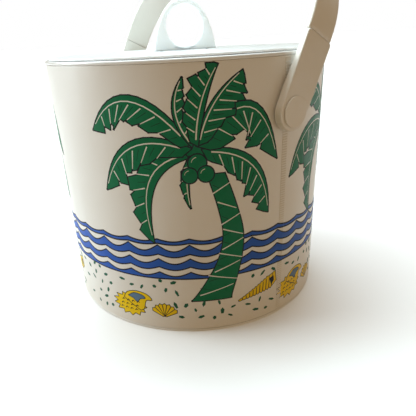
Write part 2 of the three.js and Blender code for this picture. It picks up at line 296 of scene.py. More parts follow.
# %% [markdown]
# ## Plastics
# Plain white plastic is never one flat white. It has a faint cloudiness in its colour, a fine skin
# from the mould, and patches that are a little shinier where hands have polished it. One recipe makes
# all of them, and each part asks for its own tints, gloss and grain. The numbers that are the same all
# over a part, such as coat and sheen, are set straight on the shader.

# %% Patterns that every finish uses
def link(tree, start, start_name, end, end_name):
    """Join two node sockets by name."""
    tree.links.new(start.outputs[start_name], end.inputs[end_name])


def noise(tree, place, scale, detail=3, stretch=(1, 1, 1)):
    """A noise pattern laid out in object space, stretched where a grain runs one way."""
    mapping = tree.nodes.new("ShaderNodeMapping")
    mapping.inputs["Scale"].default_value = stretch
    texture = tree.nodes.new("ShaderNodeTexNoise")
    texture.inputs["Scale"].default_value = scale
    texture.inputs["Detail"].default_value = detail
    link(tree, place, "Object", mapping, "Vector")
    link(tree, mapping, "Vector", texture, "Vector")
    return texture


def spread(tree, source, source_name, low, high, start=0.35, end=0.65):
    """Map part of a pattern's range onto the range a shader needs."""
    ranged = tree.nodes.new("ShaderNodeMapRange")
    ranged.inputs["From Min"].default_value = start
    ranged.inputs["From Max"].default_value = end
    ranged.inputs["To Min"].default_value = low
    ranged.inputs["To Max"].default_value = high
    link(tree, source, source_name, ranged, "Value")
    return ranged


def blend(tree, start, end, share):
    """The socket of a colour between two, by a share. Each is a tint or another colour's socket."""
    mixed = tree.nodes.new("ShaderNodeMix")
    mixed.data_type = "RGBA"
    for name, colour in (("A", start), ("B", end)):
        if isinstance(colour, tuple):
            mixed.inputs[name].default_value = (*colour, 1)
        else:
            tree.links.new(colour, mixed.inputs[name])
    link(tree, share, "Result", mixed, "Factor")
    return mixed.outputs["Result"]


def blank_finish(name):
    """A new material: its tree, its shader and its texture coordinates."""
    finish = bpy.data.materials.new(name)
    finish.use_nodes = True
    tree = finish.node_tree
    place = tree.nodes.new("ShaderNodeTexCoord")
    return finish, tree, tree.nodes["Principled BSDF"], place


def grain(tree, shader, height_source, height_name, depth, strength=0.5):
    """Turn a pattern into small real relief of that depth in metres."""
    relief = tree.nodes.new("ShaderNodeBump")
    relief.inputs["Distance"].default_value = depth
    relief.inputs["Strength"].default_value = strength
    link(tree, height_source, height_name, relief, "Height")
    link(tree, relief, "Normal", shader, "Normal")
    return relief

# %% [markdown]
# A thin part of milky plastic glows a little where light comes through it, as the lid's loop does.
# Subsurface light gives that. The handle does without it, because there it would only add noise.

# %% A recipe for moulded plastic
def plastic(name, tint, shade, gloss, grain_scale, grain_depth, coat=0.0, milky=0.0):
    """Moulded plastic: cloudy between tint and shade, gloss is its (lowest, highest) roughness.
    Milky plastic lets some light through its thin parts."""
    finish, tree, shader, place = blank_finish(name)
    cloud = spread(tree, noise(tree, place, 22), "Fac", 0, 1)
    tree.links.new(blend(tree, tint, shade, cloud), shader.inputs["Base Color"])
    polish = spread(tree, noise(tree, place, 60, 5), "Fac", *gloss)
    link(tree, polish, "Result", shader, "Roughness")
    grain(tree, shader, noise(tree, place, grain_scale, 4), "Fac", grain_depth)
    shader.inputs["IOR"].default_value = 1.49
    shader.inputs["Coat Weight"].default_value = coat
    shader.inputs["Coat Roughness"].default_value = 0.2
    if milky:
        shader.inputs["Subsurface Weight"].default_value = milky
        shader.inputs["Subsurface Radius"].default_value = (1.0, 0.95, 0.9)
        shader.inputs["Subsurface Scale"].default_value = 0.006
    return finish


tub_white = plastic("tub_white", (0.83, 0.82, 0.79), (0.78, 0.77, 0.73), (0.32, 0.45), 900, 0.00006)
print("first plastic ready:", tub_white.name)

# %% [markdown]
# ## Base plate
# The tub stands on a thin disc with a low ring on it that centres the shell. It is turned from one
# outline, with a rounded lower edge, so that it meets the table with a soft shadow.

# %% Turn the base plate
base_outline = rounded([
    (0, 0), (JACKET_RADIUS, 0, 0.7), (JACKET_RADIUS, 1.8, 0.3), (98.1, 1.8), (98.1, 8.0, 0.4),
    (95.6, 8.0, 0.4), (95.6, 1.8), (0, 1.8),
])
base = spun("base_disc", base_outline)
fit(base, tub_white, "bucket", ["base_plate"])

# %% [markdown]
# ## Printed vinyl jacket
# The jacket is a sheet of embossed vinyl wrapped round the shell, slightly yellowed towards its foot
# where it has been wiped and stood on. It is a plain tube with rolled edges. Its tint changes with
# height, its skin has a fine leather grain, and long faint streaks run up it.

# %% Mix the vinyl
def vinyl_finish():
    """Off-white embossed vinyl, a little dull at the foot, with a thin clear top layer."""
    finish, tree, shader, place = blank_finish("jacket_vinyl")
    cloud = spread(tree, noise(tree, place, 9, 4), "Fac", 0, 1)
    clean = blend(tree, (0.84, 0.825, 0.79), (0.80, 0.78, 0.735), cloud)
    parts = tree.nodes.new("ShaderNodeSeparateXYZ")
    link(tree, place, "Object", parts, "Vector")
    dullness = spread(tree, parts, "Z", 0.55, 0.0, 0.002, 0.03)
    aged = blend(tree, clean, (0.74, 0.69, 0.60), dullness)
    tree.links.new(aged, shader.inputs["Base Color"])
    streaks = noise(tree, place, 70, 4, (1, 1, 0.06))
    link(tree, spread(tree, streaks, "Fac", 0.30, 0.44), "Result", shader, "Roughness")
    grain(tree, shader, noise(tree, place, 650, 3, (1, 1, 0.7)), "Fac", 0.00012)
    shader.inputs["Coat Weight"].default_value = 0.15
    shader.inputs["Coat Roughness"].default_value = 0.28
    shader.inputs["Sheen Weight"].default_value = 0.05
    return finish


jacket_vinyl = vinyl_finish()
jacket_outline = rounded([
    (101.2, JACKET_FOOT, 0.2), (JACKET_RADIUS, JACKET_FOOT, 0.5),
    (JACKET_RADIUS, JACKET_TOP, 0.3), (101.2, JACKET_TOP, 0.2),
])
jacket = spun("vinyl_jacket", jacket_outline)
fit(jacket, jacket_vinyl, "bucket", ["printed_wrap"])

# %% [markdown]
# ## Artwork on the jacket
# The print is a beach scene in flat inks with black outlines, and it repeats every 96 degrees. Three
# whole scenes and three quarters of a fourth go round the bucket, because the sheet was cut to length
# at its lap seam. The scene is drawn from scratch as a generic beach: palms, waves, sand and shells.
# A picture file would blur close up, so each ink becomes real, very thin geometry. The drawing is made
# flat, across in degrees of the jacket and up in millimetres, and later rolled onto the cylinder.
# Shapes are painted in order: what is drawn later covers what was drawn before.

# %% Drawing tools for one scene
artwork = []


def spot(degrees, height):
    """A point of the drawing, from degrees across and millimetres up."""
    return Vector((degrees * DEGREE, height))


def patch(ink, corners):
    """A flat area of one ink. The ink "bare" lets the vinyl show."""
    artwork.append((ink, list(corners)))


def stroke(ink, line, width, end_width=None, loop=False, overlap=0.5):
    """A drawn line: one slim box for each stretch, a little longer than the stretch."""
    end_width = width if end_width is None else end_width
    stops = line + line[:1] if loop else line
    count = len(stops) - 1
    for index, (start, end) in enumerate(zip(stops, stops[1:])):
        along = end - start
        if along.length < 1e-4:
            continue
        along.normalize()
        across = Vector((-along.y, along.x)) / 2
        wide = width + (end_width - width) * index / count
        thin = width + (end_width - width) * (index + 1) / count
        start = start - along * wide * overlap
        end = end + along * thin * overlap
        patch(ink, [start - across * wide, end - across * thin, end + across * thin, start + across * wide])


def round_of(centre, radius, degrees):
    """Points round a centre, one for each angle in degrees."""
    angles = [math.radians(a) for a in degrees]
    return [centre + Vector((math.cos(a), math.sin(a))) * radius for a in angles]


def outlined(ink, corners, width=1.5):
    """A patch with a black line round it."""
    stroke("black", corners, width, loop=True)
    patch(ink, corners)


def bow(start, bend, end, share):
    """A point on a curve that leaves start towards bend and arrives at end."""
    return start * (1 - share) ** 2 + bend * 2 * share * (1 - share) + end * share ** 2


def bow_direction(start, bend, end, share):
    """Which way that curve runs there."""
    return ((bend - start) * (1 - share) + (end - bend) * share).normalized()


def curve_through(stops, steps=6):
    """A smooth line through all the stops."""
    line = []
    for index in range(len(stops) - 1):
        before = stops[max(index - 1, 0)]
        start = stops[index]
        end = stops[index + 1]
        after = stops[min(index + 2, len(stops) - 1)]
        for step in range(steps):
            t = step / steps
            line.append(0.5 * (2 * start + (end - before) * t
                               + (2 * before - 5 * start + 4 * end - after) * t * t
                               + (3 * start - before - 3 * end + after) * t ** 3))
    line.append(stops[-1])
    return line

# %% [markdown]
# ### Waves
# Four bands of sea cross the whole scene. The upper edge of each is a row of crests twelve degrees
# apart with round troughs between, so it comes from one formula, and it joins up from scene to scene.

# %% Draw the sea
CREST_PITCH = 12.0
FIRST_CREST = -26.0


def wave_height(degrees, trough, crest):
    """Height of a line of waves: pointed crests with round troughs between."""
    phase = (degrees - FIRST_CREST) / CREST_PITCH % 1
    return trough + (crest - trough) * (1 - math.sin(math.pi * phase))


def sea_band(top, foot):
    """One band between two wave lines, each given as (trough, crest) in millimetres."""
    degrees = range(SCENE_START, SCENE_END + 1)
    upper = [spot(d, wave_height(d, *top)) for d in degrees]
    lower = [spot(d, wave_height(d, *foot)) for d in degrees]
    rim = Vector((0, 1.0))
    patch("black", [p - rim for p in lower] + [p + rim for p in reversed(upper)])
    patch("blue", lower + upper[::-1])


SEA_BANDS = [
    ((71.2, 73.2), (69.9, 71.0)),
    ((64.0, 68.8), (60.7, 63.0)),
    ((54.6, 58.6), (51.0, 53.4)),
    ((45.2, 48.4), (44.2, 44.2)),
]
for top, foot in SEA_BANDS:
    sea_band(top, foot)
print("sea drawn in", len(artwork), "shapes")

# %% [markdown]
# ### Palm
# A palm frond is an arched rib with a fringe of broad leaflets, so one function draws them all from
# the rib's start, bend and tip. Bare lines mark the rib and part the leaflets. The trunk leans and
# swells, and slanting bare rings cross it.

# %% Draw fronds
UNEVENNESS = 0.16


def frond(start, bend, tip, depth, leaves, side, crest, sweep=0.55):
    """One frond with its fringe on one side of the rib: side 1 is to the right of its run."""
    def at(share, reach):
        """A point of the frond: share of the way along, reach millimetres off the rib."""
        along = bow_direction(start, bend, tip, share)
        outward = Vector((along.y, -along.x)) * side
        hang = (outward + along * sweep).normalized() if reach > 0 else outward
        return bow(start, bend, tip, share) + hang * reach

    def length(share):
        """How long the leaflets are there: short at both ends of the rib."""
        return depth * math.sin(math.pi * (0.12 + 0.86 * share)) ** 0.8

    upper = [at(s / 14, -crest * math.sin(math.pi * min(1, 0.15 + 0.85 * s / 14))) for s in range(15)]
    lower = []
    for leaf in range(leaves):
        near = (leaf + 0.06) / leaves * 0.97
        far = (leaf + 0.94) / leaves * 0.97
        size = 1 + UNEVENNESS * math.sin(leaf * 2.4 + depth)
        lower.append(at(near, 0.66 * length(near)))
        lower.append(at(near + 0.2 / leaves, size * length(near)))
        lower.append(at(far, 0.84 * size * length(far)))
    outlined("green", upper + lower[::-1])
    for leaf in range(1, leaves):
        share = (leaf + 0.02) / leaves * 0.97
        reach = length(share)
        stroke("bare", [at(share, 0.10 * reach + 0.4), at(share, 0.80 * reach)], 0.85, 0.5, overlap=0)
        vein = (leaf - 0.45) / leaves * 0.97
        stroke("black", [at(vein, 0.15 * reach + 0.4), at(vein, 0.6 * reach)], 0.32, 0.2, overlap=0)
    rib = [at(0.07 + 0.88 * s / 12, 0.01) for s in range(13)]
    stroke("bare", rib, 0.95, 0.5, overlap=0.2)

# %% [markdown]
# The trunk follows a smooth line through a few middles. Coconuts hang where trunk and fronds meet, so
# they are painted last. Each frond in the list is its rib's start, bend and tip, then the length of
# its leaflets, their number, the side they hang on, and how thick the rib is.

# %% Draw the trunk, the fronds and the coconuts
def trunk():
    """A leaning trunk that swells low down, crossed by slanting bare rings."""
    middles = curve_through([spot(8.5, 116), spot(12.2, 95), spot(14.4, 76), spot(13.4, 59),
                             spot(10.2, 43), spot(5.6, 26)])
    count = len(middles) - 1
    left = []
    right = []
    for index, centre in enumerate(middles):
        share = index / count
        half = (3.0 + 1.7 * share + 3.0 * share ** 4) * DEGREE
        left.append(centre + Vector((-half, 0)))
        right.append(centre + Vector((half, 0)))
    outlined("green", left + right[::-1])
    for ring in range(3, count - 1, 3):
        slope = Vector((0, 3.2 if ring % 2 else -2.6))
        stroke("bare", [left[ring] - slope, right[ring] + slope], 0.9, 0.6, overlap=0.3)
        notch = left[ring] * 0.6 + right[ring] * 0.4
        stroke("black", [left[ring] + slope * 0.8, notch], 0.35, 0.2, overlap=0)


def round_fruit(centre, radius):
    """A coconut with a bare gleam along its upper left."""
    outlined("green", round_of(centre, radius, range(0, 360, 18)))
    stroke("bare", round_of(centre, radius * 0.68, range(100, 184, 14)), 0.5, 0.3, overlap=0.2)


trunk()
heart = [spot(2, 132) + Vector((math.cos(a) * 9.0, math.sin(a) * 6.0 * (1 + 0.15 * math.sin(3 * a))))
         for a in (math.pi * step / 12 for step in range(24))]
outlined("green", heart)
FRONDS = [
    ((-1, 129), (-22, 124), (-15, 71), 13, 7, 1, 4.5),
    ((0.5, 128), (-3, 116), (-0.8, 95), 4.2, 4, 1, 1.2),
    ((0, 131), (-24, 149), (-32.5, 105), 17, 6, -1, 3.4),
    ((0, 134), (-21, 182), (-35.3, 143), 17, 8, -1, 3.4),
    ((1, 134), (-8, 154), (-1.5, 172), 6, 6, 1, 1.6),
    ((4, 130), (27, 130), (28.8, 85), 17, 8, 1, 3.4),
    ((3, 133), (23, 181), (32.3, 120), 21, 7, 1, 3.4, 0.25),
    ((3, 134), (6, 160), (18, 174), 16, 7, 1, 1.6),
    ((2, 134), (2.5, 160), (9.8, 178), 11, 7, -1, 2.6),
]
for start, bend, tip, *shape in FRONDS:
    frond(spot(*start), spot(*bend), spot(*tip), *shape)
COCONUTS = [(2.2, 123.5, 5.4), (5.0, 116.5, 4.8), (-0.6, 116.0, 4.6)]
for across, height, radius in COCONUTS:
    round_fruit(spot(across, height), radius)
print("with the palm the drawing has", len(artwork), "shapes")

# %% [markdown]
# ### Shells
# Three generic shells lie on the sand: a knobbly whelk with a grey-blue mouth, a small fan shell and
# a long screw shell. Each comes from a rule, such as a ring of knobs or a row of whorls.

# %% Draw the shells
def whelk(centre):
    """A knobbly shell: a ring of knobs, a flared lip and a grey-blue mouth."""
    body = []
    for step in range(26):
        angle = 2 * math.pi * step / 26
        knob = 1 + 0.13 * (-1) ** step
        body.append(centre + Vector((12.5 * math.cos(angle) - 3, 8.2 * math.sin(angle) - 1)) * knob)
    outlined("yellow", body, 1.1)
    lip = [Vector(p) for p in ((-7, 4), (-4, 9), (4, 11.5), (12, 10), (15.5, 6), (11, 5), (9, -2), (6, -4))]
    outlined("yellow", [centre + p for p in curve_through(lip, 3)], 1.1)
    mouth = [Vector(p) for p in ((-3, 6.5), (2, 9.6), (8, 9), (10.5, 6.8), (6.5, 5.6), (4, 2.6), (1, 5.2))]
    outlined("grey_blue", [centre + p for p in curve_through(mouth, 3)], 0.9)
    for row in range(3):
        for step in range(4):
            knob = centre + Vector((-11 + 4.2 * step + row, -5 + 3.4 * row))
            stroke("black", [knob, knob + Vector((0.9, 1.0)), knob + Vector((2.0, 0.3))], 0.8, 0.5)


def fan_shell(hinge, radius):
    """A fan shell: ribs from a hinge out to a scalloped edge."""
    edge = []
    for step in range(15):
        angle = math.radians(22 + 9.5 * step)
        reach = radius * (1 if step % 2 else 0.9)
        edge.append(hinge + Vector((math.cos(angle), math.sin(angle))) * reach)
    outlined("yellow", [hinge + Vector((-1.4, 0)), hinge + Vector((1.4, 0))] + edge, 1.1)
    for step in range(2, 14, 2):
        stroke("black", [hinge, edge[step]], 0.35, 0.7, overlap=0)


def screw_shell(point, mouth, half):
    """A long shell of whorls from its point to a dark mouth."""
    along = (mouth - point).normalized()
    across = Vector((-along.y, along.x))
    length = (mouth - point).length
    whorls = 10
    upper = []
    lower = []
    for step in range(whorls * 2 + 1):
        share = step / (whorls * 2)
        swell = (0.3 + (half - 0.3) * share) * (1.0 if step % 2 else 0.84)
        centre = point + along * length * share
        upper.append(centre + across * swell)
        lower.append(centre - across * swell)
    flare = [mouth + along * 6.5 + across * half * 0.9, mouth + along * 5 - across * half * 0.5]
    outlined("yellow", upper + flare + lower[::-1], 1.1)
    for step in range(2, whorls * 2 + 1, 2):
        stroke("black", [lower[step], upper[step] + along * half * 0.7 * step / 20], 0.75, 0.55, overlap=0)
    opening = [mouth + across * half * 0.5, mouth + along * 4.2 + across * half * 0.45,
               mouth + along * 3.4 - across * half * 0.25, mouth - across * half * 0.6]
    patch("black", opening)


whelk(spot(-27.3, 19.0))
fan_shell(spot(-13.5, 12.5), 10.5)
screw_shell(spot(16.5, 21.5), spot(31.0, 30.0), 5.6)
print("the whole scene has", len(artwork), "shapes")

# %% [markdown]
# ### From drawing to thin ink
# The shapes overlap, but printed ink doesn't: only the last one painted shows. A constrained
# triangulation cuts the flat drawing along every outline and every facet edge of the jacket. The last
# painted shape that winds round a triangle's middle decides its ink. Then each ink's triangles are
# rolled onto the jacket as a closed skin a few hundredths of a millimetre thick.

# %% Cut the drawing into triangles of one ink each
def inside(places, corners):
    """Which places an outline winds round, so that an outline crossing itself stays filled."""
    winding = np.zeros(len(places), int)
    for start, end in zip(corners, corners[1:] + corners[:1]):
        side = (end.x - start.x) * (places[:, 1] - start.y) - (places[:, 0] - start.x) * (end.y - start.y)
        rising = (start.y <= places[:, 1]) & (end.y > places[:, 1]) & (side > 0)
        falling = (start.y > places[:, 1]) & (end.y <= places[:, 1]) & (side < 0)
        winding += rising.astype(int) - falling.astype(int)
    return winding != 0


def cut_drawing(shapes):
    """(flat points, {ink: its triangles}) of the drawing, cut at the jacket's facet edges too."""
    points = []
    cuts = []
    for _, corners in shapes:
        first = len(points)
        points += corners
        cuts += [(first + step, first + (step + 1) % len(corners)) for step in range(len(corners))]
    uprights = [degrees * DEGREE for degrees in range(SCENE_START, SCENE_END + 1, 360 // FACETS)]
    for inward in (SEAM_HALF, SEAM_HALF - SEAM_EDGE / 2, SEAM_HALF - SEAM_EDGE):
        uprights += [SCENE_START * DEGREE + inward, -SCENE_START * DEGREE - inward]
    for across in uprights:
        cuts.append((len(points), len(points) + 1))
        points += [Vector((across, 0)), Vector((across, 180))]
    flat, _, triangles = delaunay_2d_cdt(points, cuts, [], 0, 1e-4)[:3]
    middles = np.array([sum((flat[p] for p in t), Vector((0, 0))) / 3 for t in triangles])
    top_shape = np.full(len(triangles), -1)
    for number, (_, corners) in enumerate(shapes):
        top_shape[inside(middles, corners)] = number
    inks = {}
    for triangle, number in zip(triangles, top_shape):
        if number >= 0:
            inks.setdefault(shapes[number][0], []).append(anticlockwise(triangle, flat))
    return flat, inks


def anticlockwise(triangle, flat):
    """The triangle with its corners in anticlockwise order."""
    a, b, c = (flat[p] for p in triangle)
    doubled = (b.x - a.x) * (c.y - a.y) - (b.y - a.y) * (c.x - a.x)
    return tuple(triangle) if doubled > 0 else tuple(reversed(triangle))


flat_points, ink_triangles = cut_drawing(artwork)
print({ink: len(found) for ink, found in ink_triangles.items()})

# %% [markdown]
# Rolling turns distance across the drawing into an angle. The ink has to follow the jacket's own flat
# facets and not a perfect circle, or it would stand off the vinyl between their edges. Over the lap
# seam it is lifted with the welded strip.

# %% Roll a point of the drawing onto the jacket
INK_ABOVE = 0.05
INK_BELOW = 0.02


def seam_lift(degrees):
    """How far the welded strip over the lap raises the surface, in millimetres."""
    across = abs(math.remainder(degrees, 360)) * DEGREE
    edge = min(1, max(0, SEAM_HALF - across) / SEAM_EDGE)
    return SEAM_THICK * math.sin(edge * math.pi / 2)


def on_jacket(flat, lift, turn):
    """A drawing point on the jacket's facets, lifted by millimetres, in the scene at that turn."""
    facet = 360 / FACETS
    degrees = flat.x / DEGREE + SCENE_TURN + turn
    lift += seam_lift(degrees)
    index = math.floor(degrees / facet + 1e-7)
    share = degrees / facet - index
    first = math.radians(index * facet)
    second = math.radians((index + 1) * facet)
    x = math.cos(first) * (1 - share) + math.cos(second) * share
    y = math.sin(first) * (1 - share) + math.sin(second) * share
    radius = JACKET_RADIUS + lift
    return (x * radius, y * radius, flat.y)

# %% [markdown]
# A closed skin needs a top, an underside and a wall all along its border. Where two areas of one ink
# touch at a single point, that point is split in two, so that each area closes by itself.

# %% Split points that two areas share
def separate_fans(triangles):
    """Number each corner so that areas touching at a single point don't share it."""
    at_point = {}
    for index, triangle in enumerate(triangles):
        for point in triangle:
            at_point.setdefault(point, []).append(index)
    corner_number = {}
    source = []
    for point, members in at_point.items():
        left = set(members)
        while left:
            group = [left.pop()]
            for index in group:
                edge_ends = set(triangles[index]) - {point}
                near = [other for other in left if edge_ends & (set(triangles[other]) - {point})]
                left.difference_update(near)
                group += near
            for index in group:
                corner_number[index, point] = len(source)
            source.append(point)
    return corner_number, source

# %% [markdown]
# The facets would show as faint upright stripes in the ink's gloss. Shading both sides straight away
# from the axis hides them, and the thin walls keep the shading of their own faces.

# %% Make one ink's skin
def ink_skin(name, triangles, finish):
    """A closed skin of one ink in all scenes, shaded as the round jacket is."""
    points = []
    faces = []
    for turn, end in SCENES:
        inside_end = [t for t in triangles if max(flat_points[p].x for p in t) < end * DEGREE + 0.01]
        corner_number, source = separate_fans(inside_end)
        tops = [[corner_number[i, p] for p in t] for i, t in enumerate(inside_end)]
        edges = {(t[k], t[(k + 1) % 3]) for t in tops for k in range(3)}
        border = sorted(edge for edge in edges if edge[::-1] not in edges)
        count = len(source)
        start = len(points)
        points += [on_jacket(flat_points[p], INK_ABOVE, turn) for p in source]
        points += [on_jacket(flat_points[p], -INK_BELOW, turn) for p in source]
        faces += [tuple(start + c for c in t) for t in tops]
        faces += [tuple(start + count + c for c in reversed(t)) for t in tops]
        faces += [(start + b, start + a, start + count + a, start + count + b) for a, b in border]
    piece = new_piece(name, points, faces)
    fit(piece, finish, "bucket", ["printed_wrap"], 30)
    shade_round(piece)
    return piece


def shade_round(piece):
    """Point the shading of upper and under sides straight away from the jacket's axis."""
    mesh = piece.data
    directions = [Vector((0, 0, 0))] * len(mesh.loops)
    for face in mesh.polygons:
        normal = face.normal
        for loop in face.loop_indices:
            place = mesh.vertices[mesh.loops[loop].vertex_index].co
            outward = Vector((place.x, place.y, 0)).normalized()
            lean = normal.dot(outward)
            directions[loop] = outward * math.copysign(1, lean) if abs(lean) > 0.9 else normal.copy()
    mesh.normals_split_custom_set(directions)

# %% [markdown]
# ### Inks
# Screen ink is smoother than the vinyl under it and dries with tiny ridges. Each ink is its own
# material with one pigment, so its edge stays as sharp as the geometry, and roughness and relief
# carry the small unevenness of the print.

# %% Mix the inks and print them
INK_SHINE = 0.16


def ink_finish(name, pigment, gloss):
    """A printed ink: one pigment, uneven gloss, and the vinyl's grain showing through."""
    finish, tree, shader, place = blank_finish(name)
    shader.inputs["Base Color"].default_value = (*pigment, 1)
    link(tree, spread(tree, noise(tree, place, 180, 5), "Fac", *gloss), "Result", shader, "Roughness")
    grain(tree, shader, noise(tree, place, 650, 3, (1, 1, 0.7)), "Fac", 0.00010, 0.45)
    shader.inputs["Specular IOR Level"].default_value = INK_SHINE
    return finish


INKS = {
    "green": ((0.002, 0.150, 0.058), (0.34, 0.52)),
    "blue": ((0.028, 0.115, 0.520), (0.34, 0.50)),
    "yellow": ((0.900, 0.640, 0.010), (0.30, 0.46)),
    "black": ((0.004, 0.004, 0.005), (0.40, 0.56)),
    "grey_blue": ((0.120, 0.215, 0.340), (0.34, 0.50)),
}
for ink, (pigment, gloss) in INKS.items():
    finish = ink_finish("ink_" + ink, pigment, gloss)
    ink_skin("print_" + ink, ink_triangles[ink], finish)

# %% [markdown]
# ## Node tools
# Where one small thing is repeated many times, a Geometry Nodes tree says the rule once: how many,
# how far apart, how big. Each tree below has named inputs, is run once, and its result is kept as a
# plain mesh, so nothing is left to compute later.

# %% Build a node tree
def new_tree(name, sizes):
    """A geometry tree with a mesh input and the named number inputs."""
    tree = bpy.data.node_groups.new(name, "GeometryNodeTree")
    tree.interface.new_socket("Geometry", in_out="INPUT", socket_type="NodeSocketGeometry")
    for label, kind in sizes:
        tree.interface.new_socket(label, in_out="INPUT", socket_type=kind)
    tree.interface.new_socket("Geometry", in_out="OUTPUT", socket_type="NodeSocketGeometry")
    return tree, tree.nodes.new("NodeGroupInput"), tree.nodes.new("NodeGroupOutput")


def node(tree, kind, settings=None, **values):
    """A node with its settings, and its plain input values by socket name."""
    made = tree.nodes.new(kind)
    for name, value in (settings or {}).items():
        setattr(made, name, value)
    for name, value in values.items():
        made.inputs[name.replace("_", " ")].default_value = value
    return made


def wire(tree, start, end):
    """Join an output, given as (node, name or index), to an input given likewise."""
    tree.links.new(start[0].outputs[start[1]], end[0].inputs[end[1]])


def maths(tree, operation, *operands):
    """A sum whose operands are plain numbers or outputs. Gives its own output, for the next sum."""
    made = node(tree, "ShaderNodeMath", {"operation": operation})
    for place, operand in enumerate(operands):
        if isinstance(operand, tuple):
            wire(tree, operand, (made, place))
        else:
            made.inputs[place].default_value = operand
    return made, 0


def set_copies(tree, points, single, **outputs):
    """A copy of some geometry on each point. Named outputs steer its Rotation and Scale."""
    copies = node(tree, "GeometryNodeInstanceOnPoints")
    wire(tree, points, (copies, "Points"))
    wire(tree, single, (copies, "Instance"))
    for name, output in outputs.items():
        wire(tree, output, (copies, name))
    real = node(tree, "GeometryNodeRealizeInstances")
    wire(tree, (copies, 0), (real, 0))
    return real, 0


def end_tree(tree, last, result, finish):
    """Give the last geometry its finish and hand it over."""
    coloured = node(tree, "GeometryNodeSetMaterial")
    coloured.inputs["Material"].default_value = finish
    wire(tree, last, (coloured, 0))
    wire(tree, (coloured, 0), (result, 0))

# %% [markdown]
# A modifier's inputs are set by their identifiers, because names needn't be unique. The evaluated
# result is copied to a plain mesh, and the modifier and its base go.

# %% Run a node tree
def run_tree(name, tree, base, values):
    """Run a tree on a base object with input values by name, and keep the result as a plain mesh."""
    modifier = base.modifiers.new("rule", "NODES")
    modifier.node_group = tree
    for item in tree.interface.items_tree:
        if item.in_out == "INPUT" and item.name in values:
            modifier[item.identifier] = values[item.name]
    evaluated = base.evaluated_get(bpy.context.evaluated_depsgraph_get())
    mesh = bpy.data.meshes.new_from_object(evaluated)
    mesh.name = name
    base.modifiers.remove(modifier)
    bpy.data.objects.remove(base)
    piece = bpy.data.objects.new(name, mesh)
    bpy.context.scene.collection.objects.link(piece)
    return piece

# %% [markdown]
# ## Flecks on the sand
# The sand is dotted with small dark green flecks, and their scatter is the same in every scene.
# Points are scattered on clear patches of the flat drawing, a flat five-sided fleck is put on each at
# a random turn and stretch, and the lot is rolled round the jacket and repeated scene by scene. The
# quarter of a scene that the seam cuts off is scattered on its own, and repeated once less.

# %% Mark the clear sand
NEAR_SAND = [(-34.5, -4.5, 34.5, 42.0), (-9.0, -4.5, 9.0, 33.0), (-9.0, 15.0, 9.0, 24.0),
             (15.0, 34.5, 8.5, 19.0), (18.0, 34.5, 38.0, 42.5)]
FAR_SAND = [(37.5, 58.5, 9.0, 42.0)]


def clear_sand(areas):
    """Flat patches of the drawing, as (left, right, low, high), where no trunk or shell lies."""
    points = []
    faces = []
    for left, right, low, high in areas:
        start = len(points)
        points += [spot(left, low).to_3d(), spot(right, low).to_3d(),
                   spot(right, high).to_3d(), spot(left, high).to_3d()]
        faces.append((start, start + 1, start + 2, start + 3))
    return new_piece("clear_sand", points, faces)

# %% [markdown]
# The tree works on the flat drawing first, where scattering is easy, and rolls the finished flecks
# last. The Poisson method keeps them from overlapping, and the fixed seed keeps them where they are.

# %% Scatter and shape the flecks
FLECK_THICK = 0.00009
FULL_TURN = 6.283
LEAST_STRETCH = (0.8, 0.5, 1)
MOST_STRETCH = (1.9, 0.9, 1)


def fleck_tree(finish):
    """Scatter, shape, roll and repeat."""
    tree, given, result = new_tree("sand_flecks", [
        ("Density", "NodeSocketFloat"), ("Spacing", "NodeSocketFloat"), ("Fleck radius", "NodeSocketFloat"),
        ("Jacket radius", "NodeSocketFloat"), ("Seed", "NodeSocketInt"), ("Scenes", "NodeSocketInt"),
        ("First turn", "NodeSocketFloat")])
    scatter = node(tree, "GeometryNodeDistributePointsOnFaces", {"distribute_method": "POISSON"})
    for name, socket in (("Geometry", "Mesh"), ("Density", "Density Max"),
                         ("Spacing", "Distance Min"), ("Seed", "Seed")):
        wire(tree, (given, name), (scatter, socket))
    fleck = node(tree, "GeometryNodeMeshCylinder", Vertices=5, Depth=FLECK_THICK)
    wire(tree, (given, "Fleck radius"), (fleck, "Radius"))
    chosen = []
    for lowest, highest in (((0, 0, 0), (0, 0, FULL_TURN)), (LEAST_STRETCH, MOST_STRETCH)):
        random = node(tree, "FunctionNodeRandomValue", {"data_type": "FLOAT_VECTOR"})
        random.inputs["Min"].default_value = lowest
        random.inputs["Max"].default_value = highest
        wire(tree, (given, "Seed"), (random, "Seed"))
        chosen.append((random, 0))
    flecks = set_copies(tree, (scatter, "Points"), (fleck, "Mesh"), Rotation=chosen[0], Scale=chosen[1])
    rolled = roll_round(tree, given, flecks)
    end_tree(tree, repeat_round(tree, given, rolled), result, finish)
    return tree


def roll_round(tree, given, flat):
    """Bend flat geometry round the upright axis: across becomes angle, up stays up."""
    position = node(tree, "GeometryNodeInputPosition")
    parts = node(tree, "ShaderNodeSeparateXYZ")
    wire(tree, (position, 0), (parts, 0))
    angle = maths(tree, "DIVIDE", (parts, "X"), (given, "Jacket radius"))
    shifted = maths(tree, "ADD", angle, math.radians(SCENE_TURN))
    radius = maths(tree, "ADD", (parts, "Z"), (given, "Jacket radius"))
    joined = node(tree, "ShaderNodeCombineXYZ")
    for axis, operation in (("X", "COSINE"), ("Y", "SINE")):
        share = maths(tree, operation, shifted)
        wire(tree, maths(tree, "MULTIPLY", share, radius), (joined, axis))
    wire(tree, (parts, "Y"), (joined, "Z"))
    moved = node(tree, "GeometryNodeSetPosition")
    wire(tree, flat, (moved, "Geometry"))
    wire(tree, (joined, 0), (moved, "Position"))
    return moved, 0


